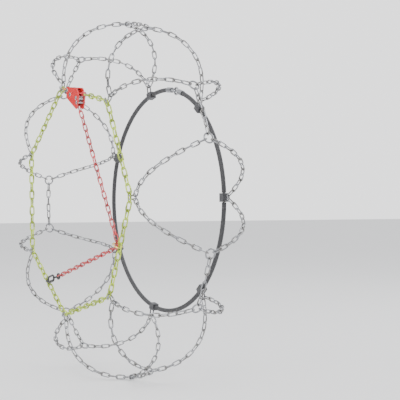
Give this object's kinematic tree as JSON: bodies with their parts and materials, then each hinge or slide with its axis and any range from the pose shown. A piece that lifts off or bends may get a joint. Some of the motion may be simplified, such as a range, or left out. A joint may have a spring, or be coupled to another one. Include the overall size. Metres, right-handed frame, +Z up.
{
  "type": "tyre snow chain net",
  "caption": "Snow chain net for a car tyre: steel cross chains in a diamond pattern, side chain with lock and tension chain, inner cable hoop.",
  "frame": {"origin": "centre of the wheel that the net is fitted to, midway between the tyre walls", "axes": "+Y along the axle towards the vehicle, -Y to the outside of the wheel; +Z up as parked; +X along the ground"},
  "size_m": [0.6411, 0.2011, 0.6508],
  "materials": {
    "side_paint": "yellow-green paint, worn to steel where links touch",
    "chain_steel": "zinc-plated welded links, satin",
    "ring_steel": "zinc-plated wire, brighter than the chain",
    "cable_steel": "galvanised wire rope and pressed sleeves",
    "tube_plastic": "black extruded tube",
    "dark_metal": "black coated steel",
    "lock_paint": "red gloss paint",
    "chain_red": "red paint over welded links",
    "pin_steel": "plain zinc plate",
    "guide_gold": "yellow chromate plate"
  },
  "bodies": {
    "net": {"side_chain_1": "side_paint", "side_chain_2": "side_paint", "side_chain_3": "side_paint", "side_chain_4": "side_paint", "side_chain_5": "side_paint", "side_chain_6": "side_paint", "side_chain_7": "side_paint", "outer_cross_chains_1": "chain_steel", "outer_cross_chains_2": "chain_steel", "outer_cross_chains_3": "chain_steel", "outer_cross_chains_4": "chain_steel", "outer_cross_chains_5": "chain_steel", "outer_cross_chains_6": "chain_steel", "outer_cross_chains_7": "chain_steel", "inner_cross_chains_1": "chain_steel", "inner_cross_chains_2": "chain_steel", "inner_cross_chains_3": "chain_steel", "inner_cross_chains_4": "chain_steel", "inner_cross_chains_5": "chain_steel", "inner_cross_chains_6": "chain_steel", "inner_cross_chains_7": "chain_steel", "side_hooks": "ring_steel", "cable_clamps": "dark_metal", "inner_cable": "cable_steel", "cable_tubes": "tube_plastic", "cable_hook_end": "cable_steel", "cable_eye_end": "cable_steel", "lock_front_plate": "lock_paint", "lock_back_plate": "lock_paint", "lock_rivets": "pin_steel", "roller_pin": "pin_steel", "pawl_pin": "pin_steel", "pawl_spring": "pin_steel", "tension_chain_upper": "chain_red", "tension_chain_lower": "chain_red"},
    "pawl": {"lock_pawl": "dark_metal"},
    "roller": {"lock_roller": "pin_steel"},
    "guide": {"guide_ring": "guide_gold"},
    "hook": {"end_hook": "dark_metal"},
    "tie_1": {"tie_chain_1": "chain_steel"},
    "tie_2": {"tie_chain_2": "chain_steel"},
    "tie_3": {"tie_chain_3": "chain_steel"},
    "tie_4": {"tie_chain_4": "chain_steel"},
    "tie_5": {"tie_chain_5": "chain_steel"},
    "tie_6": {"tie_chain_6": "chain_steel"},
    "tie_7": {"tie_chain_7": "chain_steel"},
    "ring_1": {"tread_ring_1": "ring_steel"},
    "ring_2": {"tread_ring_2": "ring_steel"},
    "ring_3": {"tread_ring_3": "ring_steel"},
    "ring_4": {"tread_ring_4": "ring_steel"},
    "ring_5": {"tread_ring_5": "ring_steel"},
    "ring_6": {"tread_ring_6": "ring_steel"},
    "ring_7": {"tread_ring_7": "ring_steel"},
    "ring_8": {"tread_ring_8": "ring_steel"},
    "ring_9": {"tread_ring_9": "ring_steel"},
    "ring_10": {"tread_ring_10": "ring_steel"},
    "ring_11": {"tread_ring_11": "ring_steel"},
    "ring_12": {"tread_ring_12": "ring_steel"},
    "ring_13": {"tread_ring_13": "ring_steel"},
    "ring_14": {"tread_ring_14": "ring_steel"}
  },
  "joints": [
    {"name": "pawl_release", "type": "hinge", "parent": "net", "child": "pawl", "pos_m": [-0.0035, -0.09326, 0.1908], "axis": [0, -1, 0], "range_deg": [0, 28], "stiffness_Nm_per_rad": 0.01},
    {"name": "roller_turn", "type": "hinge", "parent": "net", "child": "roller", "pos_m": [0.0207, -0.09326, 0.18277], "axis": [0, 1, 0], "continuous": true},
    {"name": "guide_rock", "type": "hinge", "parent": "net", "child": "guide", "pos_m": [0.17189, -0.09326, -0.0773], "axis": [0.4102, 0, 0.912], "range_deg": [-6, 6]},
    {"name": "end_hook_rock", "type": "hinge", "parent": "net", "child": "hook", "pos_m": [-0.11572, -0.09326, -0.15317], "axis": [-0.9663, 0, -0.2576], "range_deg": [-6, 6]},
    {"name": "tie_roll_1", "type": "hinge", "parent": "net", "child": "tie_1", "pos_m": [0.30344, 0, 0.10761], "axis": [-0.4573, 0, 0.8893], "range_deg": [-12, 12]},
    {"name": "tie_roll_2", "type": "hinge", "parent": "net", "child": "tie_2", "pos_m": [0.10506, 0, 0.30433], "axis": [-0.9804, 0, 0.1969], "range_deg": [-12, 12]},
    {"name": "tie_roll_3", "type": "hinge", "parent": "net", "child": "tie_3", "pos_m": [-0.17243, 0, 0.27188], "axis": [-0.7652, 0, -0.6437], "range_deg": [-12, 12]},
    {"name": "tie_roll_4", "type": "hinge", "parent": "net", "child": "tie_4", "pos_m": [-0.32007, 0, 0.03471], "axis": [0.0262, 0, -0.9997], "range_deg": [-12, 12]},
    {"name": "tie_roll_5", "type": "hinge", "parent": "net", "child": "tie_5", "pos_m": [-0.2267, 0, -0.2286], "axis": [0.7979, 0, -0.6028], "range_deg": [-12, 12]},
    {"name": "tie_roll_6", "type": "hinge", "parent": "net", "child": "tie_6", "pos_m": [0.03739, 0, -0.31977], "axis": [0.9688, 0, 0.248], "range_deg": [-12, 12]},
    {"name": "tie_roll_7", "type": "hinge", "parent": "net", "child": "tie_7", "pos_m": [0.27332, 0, -0.17014], "axis": [0.4102, 0, 0.912], "range_deg": [-12, 12]},
    {"name": "ring_turn_1", "type": "hinge", "parent": "net", "child": "ring_1", "pos_m": [0.31048, 0, -0.08518], "axis": [0.9644, 0, -0.2646], "continuous": true},
    {"name": "ring_turn_2", "type": "hinge", "parent": "net", "child": "ring_2", "pos_m": [0.30559, 0, 0.10131], "axis": [0.9492, 0, 0.3147], "continuous": true},
    {"name": "ring_turn_3", "type": "hinge", "parent": "net", "child": "ring_3", "pos_m": [0.26018, 0, 0.18963], "axis": [0.8081, 0, 0.589], "continuous": true},
    {"name": "ring_turn_4", "type": "hinge", "parent": "net", "child": "ring_4", "pos_m": [0.11132, 0, 0.30209], "axis": [0.3458, 0, 0.9383], "continuous": true},
    {"name": "ring_turn_5", "type": "hinge", "parent": "net", "child": "ring_5", "pos_m": [0.01396, 0, 0.32165], "axis": [0.0434, 0, 0.9991], "continuous": true},
    {"name": "ring_turn_6", "type": "hinge", "parent": "net", "child": "ring_6", "pos_m": [-0.16678, 0, 0.27539], "axis": [-0.518, 0, 0.8554], "continuous": true},
    {"name": "ring_turn_7", "type": "hinge", "parent": "net", "child": "ring_7", "pos_m": [-0.24277, 0, 0.21146], "axis": [-0.7541, 0, 0.6568], "continuous": true},
    {"name": "ring_turn_8", "type": "hinge", "parent": "net", "child": "ring_8", "pos_m": [-0.31929, 0, 0.04131], "axis": [-0.9917, 0, 0.1283], "continuous": true},
    {"name": "ring_turn_9", "type": "hinge", "parent": "net", "child": "ring_9", "pos_m": [-0.31669, 0, -0.05796], "axis": [-0.9837, 0, -0.18], "continuous": true},
    {"name": "ring_turn_10", "type": "hinge", "parent": "net", "child": "ring_10", "pos_m": [-0.23137, 0, -0.22387], "axis": [-0.7187, 0, -0.6954], "continuous": true},
    {"name": "ring_turn_11", "type": "hinge", "parent": "net", "child": "ring_11", "pos_m": [-0.15213, 0, -0.28374], "axis": [-0.4725, 0, -0.8813], "continuous": true},
    {"name": "ring_turn_12", "type": "hinge", "parent": "net", "child": "ring_12", "pos_m": [0.03077, 0, -0.32048], "axis": [0.0956, 0, -0.9954], "continuous": true},
    {"name": "ring_turn_13", "type": "hinge", "parent": "net", "child": "ring_13", "pos_m": [0.12698, 0, -0.29585], "axis": [0.3944, 0, -0.9189], "continuous": true},
    {"name": "ring_turn_14", "type": "hinge", "parent": "net", "child": "ring_14", "pos_m": [0.26975, 0, -0.17575], "axis": [0.8378, 0, -0.5459], "continuous": true}
  ]
}
